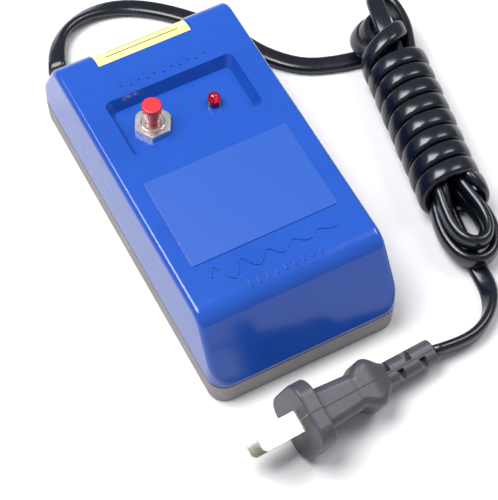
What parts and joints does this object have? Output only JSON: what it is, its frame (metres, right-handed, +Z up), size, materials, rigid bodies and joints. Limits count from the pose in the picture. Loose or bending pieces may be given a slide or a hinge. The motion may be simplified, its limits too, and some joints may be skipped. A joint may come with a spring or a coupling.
{
  "type": "demagnetizer",
  "caption": "Mains-powered bench demagnetizer for watches and small tools: flat work pad over a coil, push button and indicator in a sunk panel, captive cord wound in a hank.",
  "frame": {"origin": "middle of the case footprint, on the table that the base rests on", "axes": "+Z up, +Y along the long side towards the control panel and the cord exit, +X across to the side where the cord hank lies"},
  "size_m": [0.1457, 0.2247, 0.0482],
  "materials": {
    "shell_blue": "glossy moulded ABS",
    "base_grey": "fine-grained moulded ABS",
    "label_yellow": "satin film",
    "bright_nickel": "bright nickel plate",
    "zinc_steel": "clear zinc plate",
    "phenolic": "moulded phenolic",
    "contact_brass": "stamped brass",
    "button_red": "satin moulded ABS",
    "spring_steel": "drawn wire",
    "lens_red": "clear red epoxy",
    "tinned_wire": "tinned",
    "diode_black": "moulded epoxy",
    "resistor_tan": "lacquered",
    "core_steel": "varnished silicon-steel laminations",
    "nylon_natural": "moulded nylon",
    "copper_winding": "enamelled copper",
    "coil_tape": "polyester tape",
    "cord_black": "glossy vinyl jacket",
    "boot_black": "moulded vinyl",
    "plug_black": "satin moulded vinyl",
    "blade_nickel": "nickel-plated brass",
    "wire_brown": "vinyl insulation",
    "wire_blue": "vinyl insulation",
    "sleeve_white": "glass-fibre sleeving",
    "wire_black": "vinyl insulation"
  },
  "bodies": {
    "case": {"top_shell": "shell_blue", "base_shell": "base_grey", "case_screws": "zinc_steel", "rating_label": "label_yellow", "switch_bush": "bright_nickel", "switch_nut": "bright_nickel", "switch_lock_washer": "zinc_steel", "switch_housing": "phenolic", "switch_terminals": "contact_brass", "return_spring": "spring_steel", "led_lens": "lens_red", "led_leads": "tinned_wire", "led_diode": "diode_black", "led_resistor": "resistor_tan", "core_stack": "core_steel", "coil_bobbin": "nylon_natural", "coil_winding": "copper_winding", "coil_tape": "coil_tape", "core_bracket_near": "zinc_steel", "core_bracket_far": "zinc_steel", "core_bolts": "zinc_steel", "core_nuts": "zinc_steel", "bracket_screws": "zinc_steel", "cord_boot": "boot_black", "cord_inner_end": "cord_black", "cord_clamp": "nylon_natural", "clamp_screw": "zinc_steel", "crimp_caps": "nylon_natural", "wire_live": "wire_brown", "wire_neutral": "wire_blue", "wire_switched": "wire_brown", "coil_leads": "sleeve_white", "led_wires": "wire_black", "cord_lead": "cord_black", "cord_hank": "cord_black", "cord_tail": "cord_black", "plug_body": "plug_black", "plug_blades": "blade_nickel"},
    "button": {"button_cap": "button_red", "button_plunger": "button_red", "contact_bridge": "contact_brass"}
  },
  "joints": [
    {"name": "button_press", "type": "slide", "parent": "case", "child": "button", "axis": [0, 0, -1], "range_m": [0, 0.003], "stiffness_N_per_m": 600, "springref_m": -0.003, "deforming": ["return_spring"]}
  ]
}
